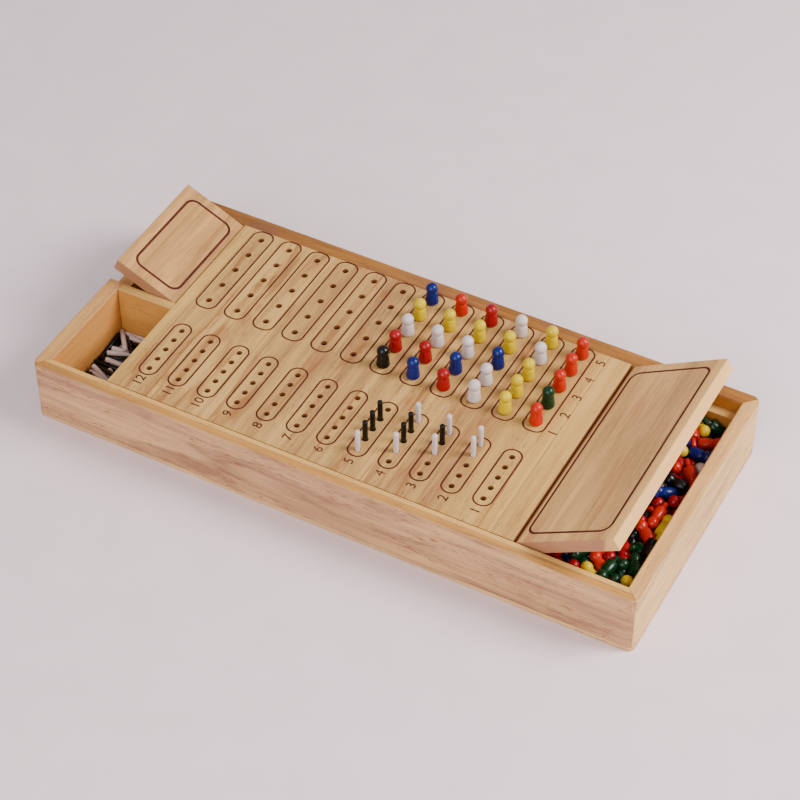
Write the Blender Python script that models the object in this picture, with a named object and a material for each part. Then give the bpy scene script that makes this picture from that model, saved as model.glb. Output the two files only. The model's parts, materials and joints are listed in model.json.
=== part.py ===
"""Wooden code breaking peg game.

A shallow mitred frame on a thin base holds a drilled pegboard, a wide bay for spare pawns at one
end, and a pin bay and a lidded secret code bay at the other. Both lids turn on steel rods. Pawns
and scoring pins stand in the holes as they do in the middle of a game.

Metres, +Z up. X runs along the frame from the code end to the storage end, Y across it from the
scoring side to the code side. The origin is under the middle of the frame, where it stands.
"""
import math

import bmesh
import bpy
from mathutils import Vector

# Counts and round sides
ROW_COUNT = 12
HOLES_PER_ROW = 5
PAWN_SIDES = 10
PIN_SIDES = 8
ROD_SIDES = 12
CORNER_STEPS = 3
LID_EDGE_STEPS = 8

# Frame
FRAME_HEIGHT = 0.042
RAIL_THICKNESS = 0.009
BASE_THICKNESS = 0.003
CORNER_RADIUS = 0.004
EDGE_ROUNDING = 0.0008
GLUE_LINE = 0.0003
MITRE_SETBACK = 0.00015

# Playing field, measured between hole centres and the pieces beside them
ROW_PITCH = 0.020
CODE_PITCH = 0.0155
SCORE_PITCH = 0.009
FIELD_GAP = 0.031
NEAR_MARGIN = 0.021
FAR_MARGIN = 0.008
CODE_END_MARGIN = 0.0078
STORAGE_END_MARGIN = 0.0147
BOARD_DROP = 0.0005
HOLE_FLOOR = 0.0015

# Bays and inner walls
STORAGE_BAY_LENGTH = 0.0695
CODE_BAY_LENGTH = 0.038
STORAGE_WALL_THICKNESS = 0.014
CODE_WALL_THICKNESS = 0.008
PARTITION_THICKNESS = 0.006
PARTITION_TO_CODE_HOLE = 0.0123
CODE_SHELF_THICKNESS = 0.012
LEDGE_WIDTH = 0.006
LEDGE_HEIGHT = 0.008

# Lids and the rods they turn on
LID_THICKNESS = 0.0085
LID_SEAT_GAP = 0.0003
LID_TURN_GAP = 0.0005
LID_SIDE_GAP = 0.0006
LID_TIP_GAP = 0.0008
LID_ROUNDING = 0.001
STORAGE_LID_AJAR = math.radians(30.0)
CODE_LID_AJAR = math.radians(25.0)
ROD_RADIUS = 0.0012
ROD_CLEARANCE = 0.0003
ROD_SEAT_SHARE = 0.55

# Pawn, from its foot up
PAWN_FOOT_RADIUS = 0.0041
PAWN_FOOT_EDGE = 0.0006
PAWN_WAIST_RADIUS = 0.0034
PAWN_NECK_RADIUS = 0.0029
PAWN_NECK_HEIGHT = 0.0087
PAWN_SHOULDER = 0.0011
PAWN_HEAD_RADIUS = 0.0037
PAWN_PEG_RADIUS = 0.0017
PAWN_PEG_END_GAP = 0.0005
PAWN_HOLE_CLEARANCE = 0.0003
PAWN_HEAD_RINGS = 4

# Scoring pin
PIN_RADIUS = 0.0016
PIN_STAND = 0.0145
PIN_TIP_ROUNDING = 0.0004
PIN_HOLE_CLEARANCE = 0.0002

# Cutters run past what they cut by this much
OVERRUN = 0.002

# Where the pawns stand: one string a row from row 1, hole 1 first
PAWN_ROWS = ("ogooo", "yyywy", "wwbyw", "rbwyr", "brwyo", "krwyb")
# Pins by row number, from the hole nearest the code holes outwards
PIN_ROWS = {2: "ww", 3: "wkw", 4: "wkkw", 5: "kkkw"}
# Row 5 leaves its first scoring hole empty
PIN_SKIPPED_HOLES = {5: 1}

# Colour, roughness and metallic value of each finish
FINISHES = {
    "frame_wood": ((0.66, 0.45, 0.25), 0.55, 0.0),
    "board_wood": ((0.70, 0.49, 0.28), 0.5, 0.0),
    "inner_wood": ((0.60, 0.42, 0.25), 0.65, 0.0),
    "steel": ((0.55, 0.55, 0.56), 0.35, 1.0),
    "lacquer_orange": ((0.85, 0.13, 0.02), 0.25, 0.0),
    "lacquer_red": ((0.62, 0.01, 0.015), 0.25, 0.0),
    "lacquer_yellow": ((0.85, 0.68, 0.02), 0.25, 0.0),
    "lacquer_green": ((0.01, 0.16, 0.05), 0.25, 0.0),
    "lacquer_blue": ((0.02, 0.06, 0.38), 0.25, 0.0),
    "lacquer_white": ((0.80, 0.79, 0.77), 0.28, 0.0),
    "lacquer_black": ((0.01, 0.012, 0.014), 0.25, 0.0),
}
COLOUR_NAMES = {"o": "orange", "r": "red", "y": "yellow", "g": "green", "b": "blue", "w": "white", "k": "black"}

# Worked out lengthways: the board grows with its rows, and the frame with what it holds
board_length = CODE_END_MARGIN + (ROW_COUNT - 1) * ROW_PITCH + STORAGE_END_MARGIN
frame_length = (2 * RAIL_THICKNESS + CODE_BAY_LENGTH + CODE_WALL_THICKNESS + board_length
                + STORAGE_WALL_THICKNESS + STORAGE_BAY_LENGTH)
x_code_end = -frame_length / 2
x_code_bay = x_code_end + RAIL_THICKNESS
x_code_wall = x_code_bay + CODE_BAY_LENGTH
x_board = x_code_wall + CODE_WALL_THICKNESS
x_storage_wall = x_board + board_length
x_storage_bay = x_storage_wall + STORAGE_WALL_THICKNESS
x_storage_rail = x_storage_bay + STORAGE_BAY_LENGTH
x_storage_end = x_storage_rail + RAIL_THICKNESS
x_first_row = x_storage_wall - STORAGE_END_MARGIN

# Worked out crossways, from the scoring side to the code side
score_span = (HOLES_PER_ROW - 1) * SCORE_PITCH
code_span = (HOLES_PER_ROW - 1) * CODE_PITCH
inner_width = NEAR_MARGIN + score_span + FIELD_GAP + code_span + FAR_MARGIN
frame_width = inner_width + 2 * RAIL_THICKNESS
y_near = -frame_width / 2
y_near_inner = y_near + RAIL_THICKNESS
y_last_score = y_near_inner + NEAR_MARGIN
y_first_score = y_last_score + score_span
y_first_code = y_first_score + FIELD_GAP
y_far_inner = y_first_code + code_span + FAR_MARGIN
y_far = y_far_inner + RAIL_THICKNESS
y_partition_code = y_first_code - PARTITION_TO_CODE_HOLE
y_partition_pins = y_partition_code - PARTITION_THICKNESS

# Worked out upwards: board and lids lie on the same ledges
z_rail = BASE_THICKNESS + GLUE_LINE
z_lid_under = FRAME_HEIGHT - LID_THICKNESS
z_ledge_top = z_lid_under - LID_SEAT_GAP
z_ledge = z_ledge_top - LEDGE_HEIGHT
z_board = z_ledge_top + GLUE_LINE
z_board_top = FRAME_HEIGHT - BOARD_DROP
z_hole_floor = z_board + HOLE_FLOOR
z_axis = FRAME_HEIGHT - LID_THICKNESS / 2
x_storage_axis = x_storage_bay + LID_TURN_GAP + LID_THICKNESS / 2
x_code_axis = x_code_wall - LID_TURN_GAP - LID_THICKNESS / 2
pawn_hole_radius = PAWN_PEG_RADIUS + PAWN_HOLE_CLEARANCE
pin_hole_radius = PIN_RADIUS + PIN_HOLE_CLEARANCE
rod_seat_depth = RAIL_THICKNESS * ROD_SEAT_SHARE


def clear_scene():
    for old in list(bpy.data.objects):
        bpy.data.objects.remove(old, do_unlink=True)


def finish_material(name):
    """The shared material of one finish."""
    known = bpy.data.materials.get(name)
    if known:
        return known
    colour, roughness, metallic = FINISHES[name]
    made = bpy.data.materials.new(name)
    made.use_nodes = True
    shader = made.node_tree.nodes["Principled BSDF"]
    shader.inputs["Base Color"].default_value = (*colour, 1.0)
    shader.inputs["Roughness"].default_value = roughness
    shader.inputs["Metallic"].default_value = metallic
    return made


def add_object(name, shape, finish, smooth_angle=None):
    """Turns a bmesh into one named object."""
    bmesh.ops.recalc_face_normals(shape, faces=shape.faces)
    mesh = bpy.data.meshes.new(name)
    shape.to_mesh(mesh)
    shape.free()
    if smooth_angle is not None:
        mesh.shade_smooth()
        mesh.set_sharp_from_angle(angle=smooth_angle)
    made = bpy.data.objects.new(name, mesh)
    bpy.context.scene.collection.objects.link(made)
    if finish:
        mesh.materials.append(finish_material(finish))
    return made


def extruded(outline, place):
    """A closed prism: place(u, v, end) puts each outline point at end 0 and end 1."""
    shape = bmesh.new()
    low = [shape.verts.new(place(u, v, 0)) for u, v in outline]
    high = [shape.verts.new(place(u, v, 1)) for u, v in outline]
    shape.faces.new(low[::-1])
    shape.faces.new(high)
    for i, j in zip(range(len(outline)), [*range(1, len(outline)), 0]):
        shape.faces.new((low[i], low[j], high[j], high[i]))
    return shape


def prism_up(outline, z_low, z_high):
    return extruded(outline, lambda x, y, end: (x, y, z_high if end else z_low))


def prism_across(outline, y_low, y_high):
    return extruded(outline, lambda x, z, end: (x, y_high if end else y_low, z))


def prism_along(outline, x_low, x_high):
    return extruded(outline, lambda y, z, end: (x_high if end else x_low, y, z))


def rectangle(u_low, v_low, u_high, v_high):
    return [(u_low, v_low), (u_high, v_low), (u_high, v_high), (u_low, v_high)]


def arc(centre_u, centre_v, radius, start, end, steps):
    """Points of an arc from start to end, both included, in degrees."""
    points = []
    for i in range(steps + 1):
        angle = math.radians(start + (end - start) * i / steps)
        points.append((centre_u + radius * math.cos(angle), centre_v + radius * math.sin(angle)))
    return points


def round_edges(shape, width, wanted):
    """Rounds the edges whose two end points wanted accepts."""
    edges = [e for e in shape.edges if wanted(e.verts[0].co, e.verts[1].co)]
    bmesh.ops.bevel(shape, geom=edges, offset=width, segments=1, affect="EDGES", clamp_overlap=True)


def is_level(a, b, height):
    tolerance = GLUE_LINE / 2
    return abs(a.z - height) < tolerance and abs(b.z - height) < tolerance


def turned(profile, sides):
    """A closed body turned about Z from (radius, height) rings, capped by flat ends."""
    shape = bmesh.new()
    rings = []
    for radius, height in profile:
        ring = []
        for i in range(sides):
            angle = 2 * math.pi * i / sides
            ring.append(shape.verts.new((radius * math.cos(angle), radius * math.sin(angle), height)))
        rings.append(ring)
    for lower, upper in zip(rings, rings[1:]):
        for i in range(sides):
            j = (i + 1) % sides
            shape.faces.new((lower[i], lower[j], upper[j], upper[i]))
    shape.faces.new(rings[0][::-1])
    shape.faces.new(rings[-1])
    return shape


def add_cylinder(shape, radius, sides, start, end):
    """Adds a closed cylinder between two points to a cutter's bmesh."""
    axis = (Vector(end) - Vector(start)).normalized()
    side = axis.orthogonal().normalized()
    other = axis.cross(side)
    rings = []
    for centre in (Vector(start), Vector(end)):
        ring = []
        for i in range(sides):
            angle = 2 * math.pi * i / sides
            offset = side * (radius * math.cos(angle)) + other * (radius * math.sin(angle))
            ring.append(shape.verts.new(centre + offset))
        rings.append(ring)
    for i in range(sides):
        j = (i + 1) % sides
        shape.faces.new((rings[0][i], rings[0][j], rings[1][j], rings[1][i]))
    shape.faces.new(rings[0][::-1])
    shape.faces.new(rings[1])


def cut(target, shape, name):
    """Cuts a closed shape out of the target with a Boolean modifier."""
    cutter = add_object(name, shape, None)
    cutter.hide_render = True
    cutter.display_type = "WIRE"
    cutter.parent = target.parent
    modifier = target.modifiers.new(name, "BOOLEAN")
    modifier.operation = "DIFFERENCE"
    modifier.solver = "EXACT"
    modifier.object = cutter


def row_x(row):
    return x_first_row - (row - 1) * ROW_PITCH


def code_y(hole):
    return y_first_code + (hole - 1) * CODE_PITCH


def score_y(hole):
    """Scoring hole 1 is the one nearest the code holes."""
    return y_first_score - (hole - 1) * SCORE_PITCH


def side_rail_outline(side):
    """Plan of a long rail, side -1 for the near one: mitred ends meet in the rounded corner's middle."""
    half_outer = x_storage_end - MITRE_SETBACK
    half_inner = x_storage_rail - MITRE_SETBACK
    right = arc(half_outer - CORNER_RADIUS, y_far - CORNER_RADIUS, CORNER_RADIUS, 45, 90, CORNER_STEPS)
    left = [(-x, y) for x, y in reversed(right)]
    points = [(half_inner, y_far_inner), *right, *left, (-half_inner, y_far_inner)]
    return [(x, side * y) for x, y in points]


def end_rail_outline(side):
    """Plan of an end rail, side 1 for the storage end."""
    half_outer = y_far - MITRE_SETBACK
    half_inner = y_far_inner - MITRE_SETBACK
    centre = x_storage_end - CORNER_RADIUS
    far = arc(centre, half_outer - CORNER_RADIUS, CORNER_RADIUS, 45, 0, CORNER_STEPS)
    near = [(x, -y) for x, y in reversed(far)]
    points = [(x_storage_rail, half_inner), *far, *near, (x_storage_rail, -half_inner)]
    return [(side * x, y) for x, y in points]


def add_frame_rails():
    """Four mitred rails with rounded top edges; the long ones hold the ends of the rods."""
    rails = {}
    plans = {
        "near_long_rail": side_rail_outline(-1), "far_long_rail": side_rail_outline(1),
        "storage_end_rail": end_rail_outline(1), "code_end_rail": end_rail_outline(-1),
    }
    for name, plan in plans.items():
        shape = prism_up(plan, z_rail, FRAME_HEIGHT)
        inner_corners = (Vector(plan[0]), Vector(plan[-1]))

        def along_rail(a, b):
            """Top edges on the rail's inner and outer side, and not on its mitres."""
            ends = [any((p.xy - corner).length < MITRE_SETBACK for corner in inner_corners) for p in (a, b)]
            return is_level(a, b, FRAME_HEIGHT) and ends[0] == ends[1]

        round_edges(shape, EDGE_ROUNDING, along_rail)
        rails[name] = add_object(name, shape, "frame_wood")

    near_seats = bmesh.new()
    seat_radius = ROD_RADIUS + ROD_CLEARANCE
    add_cylinder(near_seats, seat_radius, ROD_SIDES,
                 (x_storage_axis, y_near_inner - rod_seat_depth, z_axis),
                 (x_storage_axis, y_near_inner + OVERRUN, z_axis))
    cut(rails["near_long_rail"], near_seats, "near_rod_seat_cutter")
    far_seats = bmesh.new()
    for x_axis in (x_storage_axis, x_code_axis):
        add_cylinder(far_seats, seat_radius, ROD_SIDES,
                     (x_axis, y_far_inner - OVERRUN, z_axis),
                     (x_axis, y_far_inner + rod_seat_depth, z_axis))
    cut(rails["far_long_rail"], far_seats, "far_rod_seat_cutter")

    # The code lid reaches the outside of the frame, so the rail under its tip is lowered
    notch_plan = rectangle(x_code_end - OVERRUN, y_partition_code, x_code_bay + OVERRUN, y_far_inner)
    notch = prism_up(notch_plan, z_ledge_top, FRAME_HEIGHT + OVERRUN)
    cut(rails["code_end_rail"], notch, "code_lid_notch_cutter")


def add_base():
    plan = []
    centre_x = x_storage_end - CORNER_RADIUS
    centre_y = y_far - CORNER_RADIUS
    for start, sign_x, sign_y in ((0, 1, 1), (90, -1, 1), (180, -1, -1), (270, 1, -1)):
        plan += arc(sign_x * centre_x, sign_y * centre_y, CORNER_RADIUS, start, start + 90, 2 * CORNER_STEPS)
    add_object("base_panel", prism_up(plan, 0, BASE_THICKNESS), "inner_wood")


def add_ledges():
    """Two glued strips that carry the pegboard and the lids' ends."""
    for name, face, side in (("near_ledge", y_near_inner, 1), ("far_ledge", y_far_inner, -1)):
        edge = face + side * GLUE_LINE
        low, high = sorted((edge, edge + side * LEDGE_WIDTH))
        plan = rectangle(x_code_bay + GLUE_LINE, low, x_storage_rail - GLUE_LINE, high)
        add_object(name, prism_up(plan, z_ledge, z_ledge_top), "inner_wood")


def wall_outline(y_low, y_high, at_near, at_far, z_top):
    """End view of an upright wall, with a notch where it crosses a ledge."""
    notch_in = LEDGE_WIDTH + GLUE_LINE
    low = z_ledge - GLUE_LINE
    high = z_ledge_top + GLUE_LINE
    points = [(y_low, z_rail), (y_high, z_rail)]
    if at_far:
        points += [(y_high, low), (y_high - notch_in, low), (y_high - notch_in, high), (y_high, high)]
    points += [(y_high, z_top), (y_low, z_top)]
    if at_near:
        points += [(y_low, high), (y_low + notch_in, high), (y_low + notch_in, low), (y_low, low)]
    return points


def add_walls():
    """The two cross walls beside the pegboard and the partition between the code end's bays."""
    low = y_near_inner + GLUE_LINE
    high = y_far_inner - GLUE_LINE
    outline = wall_outline(low, high, True, True, z_board_top)
    storage = prism_along(outline, x_storage_wall + GLUE_LINE, x_storage_bay)
    add_object("storage_wall", storage, "frame_wood")
    code = prism_along(outline, x_code_wall, x_board - GLUE_LINE)
    add_object("code_wall", code, "frame_wood")

    plan = rectangle(x_code_bay + GLUE_LINE, y_partition_pins, x_code_wall - GLUE_LINE, y_partition_code)
    partition = add_object("bay_partition", prism_up(plan, z_rail, z_board_top), "frame_wood")
    seat = bmesh.new()
    add_cylinder(seat, ROD_RADIUS + ROD_CLEARANCE, ROD_SIDES,
                 (x_code_axis, y_partition_code - PARTITION_THICKNESS * ROD_SEAT_SHARE, z_axis),
                 (x_code_axis, y_partition_code + OVERRUN, z_axis))
    cut(partition, seat, "partition_rod_seat_cutter")


def add_pegboard():
    """The drilled playing field: five code holes and five scoring holes in each row."""
    plan = rectangle(x_board, y_near_inner + GLUE_LINE, x_storage_wall, y_far_inner - GLUE_LINE)
    board = add_object("pegboard", prism_up(plan, z_board, z_board_top), "board_wood")
    drills = bmesh.new()
    for row in range(1, ROW_COUNT + 1):
        for hole in range(1, HOLES_PER_ROW + 1):
            for radius, sides, y in ((pawn_hole_radius, PAWN_SIDES, code_y(hole)),
                                     (pin_hole_radius, PIN_SIDES, score_y(hole))):
                add_cylinder(drills, radius, sides, (row_x(row), y, z_hole_floor),
                             (row_x(row), y, z_board_top + OVERRUN))
    cut(board, drills, "pegboard_drill_cutter")


def add_code_shelf():
    """The block in the code bay whose five holes take the secret code."""
    x_low = x_code_bay + GLUE_LINE
    x_high = x_code_wall - GLUE_LINE
    top = z_rail + CODE_SHELF_THICKNESS
    plan = rectangle(x_low, y_partition_code + GLUE_LINE, x_high, y_far_inner - GLUE_LINE)
    shelf = add_object("code_shelf", prism_up(plan, z_rail, top), "board_wood")
    drills = bmesh.new()
    depth = z_board_top - z_hole_floor
    for hole in range(1, HOLES_PER_ROW + 1):
        centre = (x_low + x_high) / 2
        add_cylinder(drills, pawn_hole_radius, PAWN_SIDES, (centre, code_y(hole), top - depth),
                     (centre, code_y(hole), top + OVERRUN))
    cut(shelf, drills, "code_shelf_drill_cutter")


def add_lid(name, x_axis, reach, side, y_low, y_high, ajar):
    """A lid hung on its rod: a round edge about the axis, and a flat panel reaching to its tip.

    side is 1 when the panel reaches towards the storage end. The mesh is made closed, about the
    axis, and the hinge empty turns it ajar.
    """
    half = LID_THICKNESS / 2
    round_edge = arc(0, 0, half, 90, 270, LID_EDGE_STEPS)
    outline = [*round_edge, (reach, -half), (reach, half)]
    shape = prism_across([(side * x, z) for x, z in outline], y_low, y_high)

    def is_rim(a, b):
        tip = min(abs(a.x), abs(b.x)) > reach - LID_ROUNDING
        long_edge = a.y == b.y and abs(a.x - b.x) > reach / 2
        return tip or long_edge

    round_edges(shape, LID_ROUNDING, is_rim)
    hinge = bpy.data.objects.new(name + "_hinge", None)
    bpy.context.scene.collection.objects.link(hinge)
    hinge.location = (x_axis, 0, z_axis)
    hinge.rotation_euler = (0, -side * ajar, 0)
    lid = add_object(name, shape, "frame_wood", smooth_angle=math.radians(40))
    lid.parent = hinge
    bore = bmesh.new()
    add_cylinder(bore, ROD_RADIUS + ROD_CLEARANCE, ROD_SIDES, (0, y_low - OVERRUN, 0), (0, y_high + OVERRUN, 0))
    cut(lid, bore, name + "_bore_cutter")


def add_rod(name, x_axis, y_low, y_high):
    shape = bmesh.new()
    add_cylinder(shape, ROD_RADIUS, ROD_SIDES, (x_axis, y_low, z_axis), (x_axis, y_high, z_axis))
    add_object(name, shape, "steel", smooth_angle=math.radians(40))


def add_lids():
    storage_reach = x_storage_rail - LID_TIP_GAP - x_storage_axis
    add_lid("storage_lid", x_storage_axis, storage_reach, 1,
            y_near_inner + LID_SIDE_GAP, y_far_inner - LID_SIDE_GAP, STORAGE_LID_AJAR)
    code_reach = x_code_axis - x_code_end - LID_TIP_GAP
    add_lid("code_lid", x_code_axis, code_reach, -1,
            y_partition_code + LID_SIDE_GAP, y_far_inner - LID_SIDE_GAP, CODE_LID_AJAR)
    end_gap = GLUE_LINE
    add_rod("storage_hinge_rod", x_storage_axis,
            y_near_inner - rod_seat_depth + end_gap, y_far_inner + rod_seat_depth - end_gap)
    add_rod("code_hinge_rod", x_code_axis,
            y_partition_code - PARTITION_THICKNESS * ROD_SEAT_SHARE + end_gap,
            y_far_inner + rod_seat_depth - end_gap)


def pawn_profile():
    """Rings of a pawn from its peg's end up, with its foot at height 0."""
    hole_depth = z_board_top - z_hole_floor
    peg_end = -(hole_depth - PAWN_PEG_END_GAP)
    head_centre = PAWN_NECK_HEIGHT + math.sqrt(PAWN_HEAD_RADIUS ** 2 - PAWN_NECK_RADIUS ** 2)
    rings = [
        (PAWN_PEG_RADIUS, peg_end),
        (PAWN_PEG_RADIUS, 0),
        (PAWN_FOOT_RADIUS - PAWN_FOOT_EDGE, 0),
        (PAWN_FOOT_RADIUS, PAWN_FOOT_EDGE),
        (PAWN_WAIST_RADIUS, PAWN_NECK_HEIGHT - PAWN_SHOULDER),
        (PAWN_NECK_RADIUS, PAWN_NECK_HEIGHT),
    ]
    neck_angle = math.asin((PAWN_NECK_HEIGHT - head_centre) / PAWN_HEAD_RADIUS)
    for i in range(1, PAWN_HEAD_RINGS + 1):
        angle = neck_angle + (math.pi / 2 - neck_angle) * i / (PAWN_HEAD_RINGS + 0.5)
        rings.append((PAWN_HEAD_RADIUS * math.cos(angle), head_centre + PAWN_HEAD_RADIUS * math.sin(angle)))
    return rings


def pin_profile():
    """Rings of a straight pin, with the hole's floor at height 0."""
    top = z_board_top - z_hole_floor + PIN_STAND
    tip = PIN_RADIUS - PIN_TIP_ROUNDING
    return [
        (tip, GLUE_LINE),
        (PIN_RADIUS, GLUE_LINE + PIN_TIP_ROUNDING),
        (PIN_RADIUS, top - PIN_TIP_ROUNDING),
        (tip, top),
    ]


def add_pieces():
    """Pawns and pins stand in their holes; each is its own object."""
    for row, colours in enumerate(PAWN_ROWS, start=1):
        for hole, letter in enumerate(colours, start=1):
            name = f"code_pawn_r{row}_c{hole}_{COLOUR_NAMES[letter]}"
            shape = turned(pawn_profile(), PAWN_SIDES)
            pawn = add_object(name, shape, "lacquer_" + COLOUR_NAMES[letter], smooth_angle=math.radians(50))
            pawn.location = (row_x(row), code_y(hole), z_board_top + GLUE_LINE)
    for row, colours in PIN_ROWS.items():
        first = 1 + PIN_SKIPPED_HOLES.get(row, 0)
        for hole, letter in enumerate(colours, start=first):
            name = f"score_pin_r{row}_h{hole}_{COLOUR_NAMES[letter]}"
            shape = turned(pin_profile(), PIN_SIDES)
            pin = add_object(name, shape, "lacquer_" + COLOUR_NAMES[letter], smooth_angle=math.radians(50))
            pin.location = (row_x(row), score_y(hole), z_hole_floor)


clear_scene()
add_base()
add_frame_rails()
add_ledges()
add_walls()
add_pegboard()
add_code_shelf()
add_lids()
add_pieces()
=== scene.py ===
"""Looks of the wooden code breaking game: oiled wood, burned rows, lacquered pawns and pins.

Everything is in metres in the frame's own axes: X from the code end to the storage end, Y from the
scoring side to the code side, Z up.
"""
import json
import math
import random

import bmesh
import bpy
import numpy as np
from mathutils import Matrix, Vector


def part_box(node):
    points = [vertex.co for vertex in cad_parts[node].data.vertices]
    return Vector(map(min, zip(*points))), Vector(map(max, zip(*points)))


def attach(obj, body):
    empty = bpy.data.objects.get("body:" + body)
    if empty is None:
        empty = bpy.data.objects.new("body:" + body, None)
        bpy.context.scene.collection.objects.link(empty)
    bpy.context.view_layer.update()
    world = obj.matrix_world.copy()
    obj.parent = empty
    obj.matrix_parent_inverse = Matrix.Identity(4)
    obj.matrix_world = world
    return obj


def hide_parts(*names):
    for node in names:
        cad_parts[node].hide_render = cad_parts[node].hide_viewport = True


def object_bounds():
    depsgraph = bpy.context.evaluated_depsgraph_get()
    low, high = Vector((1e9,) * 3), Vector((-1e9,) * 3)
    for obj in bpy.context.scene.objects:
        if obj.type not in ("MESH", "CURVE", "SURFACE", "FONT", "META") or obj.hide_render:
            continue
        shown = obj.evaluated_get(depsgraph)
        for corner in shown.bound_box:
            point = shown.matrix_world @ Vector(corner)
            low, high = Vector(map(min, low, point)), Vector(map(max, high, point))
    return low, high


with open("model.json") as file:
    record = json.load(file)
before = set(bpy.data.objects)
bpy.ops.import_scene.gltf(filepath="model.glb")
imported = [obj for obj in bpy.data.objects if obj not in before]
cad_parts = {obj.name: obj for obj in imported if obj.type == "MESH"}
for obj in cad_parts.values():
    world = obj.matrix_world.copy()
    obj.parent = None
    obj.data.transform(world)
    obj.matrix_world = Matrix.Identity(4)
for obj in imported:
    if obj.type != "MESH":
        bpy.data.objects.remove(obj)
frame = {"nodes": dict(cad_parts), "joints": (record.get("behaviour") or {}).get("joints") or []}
cad_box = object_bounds()

ROWS = 12
HOLES = 5
FRAME_CORNER = 0.004  # radius of the frame's upright corners
SMOOTH_ANGLE = 50
MERGE_DISTANCE = 0.0000005

# Burned decoration
LINE_WIDTH = 0.00135
LID_LINE_WIDTH = 0.0020
LINE_DEPTH = 0.00018
LINE_PROUD = 0.00005
LINE_SIDES = 8
CORNER_POINTS = 9
CODE_OUTLINE = {"half_width": 0.0068, "past_end": 0.0074, "corner": 0.0055}
SCORE_OUTLINE = {"half_width": 0.0057, "past_end": 0.0057, "corner": 0.0055}
DIGIT_HEIGHT = 0.0061
DIGIT_OF_FONT = 0.72  # a digit's height as a share of the font's size
DIGIT_BOLD = 0.00007
ROW_DIGITS_FROM_SLOT = 0.0048
COLUMN_DIGITS_FROM_ROW = 0.0122
FIRST_COLUMN_DIGIT_BACK = 0.0032
COLUMN_DIGIT_PITCH_SHARE = 1.05
LID_LINE_INSET = 0.0072
LID_LINE_FROM_HINGE = 0.0021
LID_LINE_CORNER = 0.006

# Drilled holes
CODE_HOLE_RADIUS = 0.0020
SCORE_HOLE_RADIUS = 0.0018
COUNTERSINK = 0.00025
HOLE_FLOOR = 0.0015
HOLE_SIDES = 20

# Standing pieces; rings are (radius, height) from the lowest up
PEG, FOOT, WAIST, NECK, HEAD = 0.0017, 0.0041, 0.0034, 0.0028, 0.0037  # a pawn's radii
PEG_TAPER = 0.8
PEG_CHAMFER = 0.0004
PAWN_BODY = [
    (FOOT - 0.0008, 0.0), (FOOT - 0.0003, 0.00015), (FOOT - 0.00006, 0.0005), (FOOT, 0.0010),
    (FOOT - 0.00004, 0.0018), (0.00393, 0.0030), (0.00378, 0.0044), (0.00362, 0.0057),
    (0.00346, 0.0068), (0.00328, 0.0075), (0.00306, 0.0080), (NECK + 0.0001, 0.00835),
    (NECK, 0.0086)]
HEAD_ARC = (-38, 84)  # degrees of latitude on the ball
HEAD_STEPS = 12
FOOT_GAP = 0.0003  # between the board and a pawn's foot
PAWN_SIDES = 32
PAWN_LEAN = math.radians(0.9)
PAWN_TURN = 6.28  # in radians, about its own axis
PIN_FOOT = [(0.0011, 0.0), (0.0015, 0.0003), (0.0016, 0.0008)]
PIN_END = [(0.0016, 0.0007), (0.00152, 0.00035), (0.00128, 0.00008), (0.0009, 0.0)]  # by depth
PIN_SIDES = 20
PIN_LEAN = math.radians(0.48)
LEAN_SEED = 12

# Loose pieces; beads are (distance along the axis, radius)
SPARE_PAWNS = 284
PAWN_BEADS = [
    (-0.0085, 0.0017), (-0.0060, 0.0018), (-0.0014, 0.0041), (0.0026, 0.0037), (0.0070, 0.0037)]
LOOSE_PAWN_LOW, LOOSE_PAWN_MIDDLE, LOOSE_PAWN_HIGH = -0.0060, 0.0040, 0.0147
LOOSE_PAWN_BODY = [
    (FOOT * 0.9, 0.0), (FOOT, 0.0009), (0.0038, 0.0042), (WAIST, 0.0074), (NECK, 0.0084)]
LOOSE_HEAD_ARC = (-36, 78)
LOOSE_HEAD_STEPS = 5
LOOSE_PAWN_SIDES = 12
COLOUR_SHARES = {
    "green": 5, "red": 5, "orange": 4, "blue": 3, "yellow": 3, "white": 2, "black": 2}
COLOUR_SEED = 5
STORAGE_BAY_LENGTH = 0.0695
PAWNS_FALL_FROM = 0.120
PAWN_HEAP_SEED = 21
SPARE_PINS = 64
PIN_BEADS = [(i * 0.0021 - 0.0084, 0.0016) for i in range(9)]
LOOSE_PIN = [(0.0011, -0.0100), (0.0016, -0.0095), (0.0016, 0.0095), (0.0011, 0.0100)]
LOOSE_PIN_SIDES = 10
PIN_HEAP_TOP = 0.039
PINS_FALL_FROM = 0.060
PIN_HEAP_SEED = 33

# How a heap settles
HEAP_CLEARANCE = 0.0002
HEAP_STEPS = 320
FALL = 0.0004  # of a step
CALM_AFTER = 0.85  # share of the steps, after which the pieces only creep
CREEP = 0.1
NEIGHBOURS_EVERY = 6
ROUNDS = 3
PUSH_SHARE = 0.45
MOVE_SHARE = 1.4
AXIS_SPREAD = (1.0, 1.0, 0.45)  # the pieces lie rather than stand

# Table, light and camera
TABLE_HALF_WIDTH = 3.0
TABLE_DROP = 0.0002
LIGHTS = {
    "key": {"place": (1.10, 0.40, 1.00), "size": 0.75, "power": 35.0},
    "fill": {"place": (0.15, -1.55, 0.95), "size": 1.6, "power": 27.0},
}
SURROUND = (0.95, 0.95, 0.95, 1.0)
SURROUND_STRENGTH = 0.62
CAMERA_PLACE = (0.4719, -0.8710, 1.0158)
CAMERA_AIM = (0.004, 0.0, 0.028)
CAMERA_LENS = 107.0
SENSOR_WIDTH = 36.0


def centre(node):
    """The middle of a CAD node's box."""
    low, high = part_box(node)
    return (Vector(low) + Vector(high)) / 2


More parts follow.
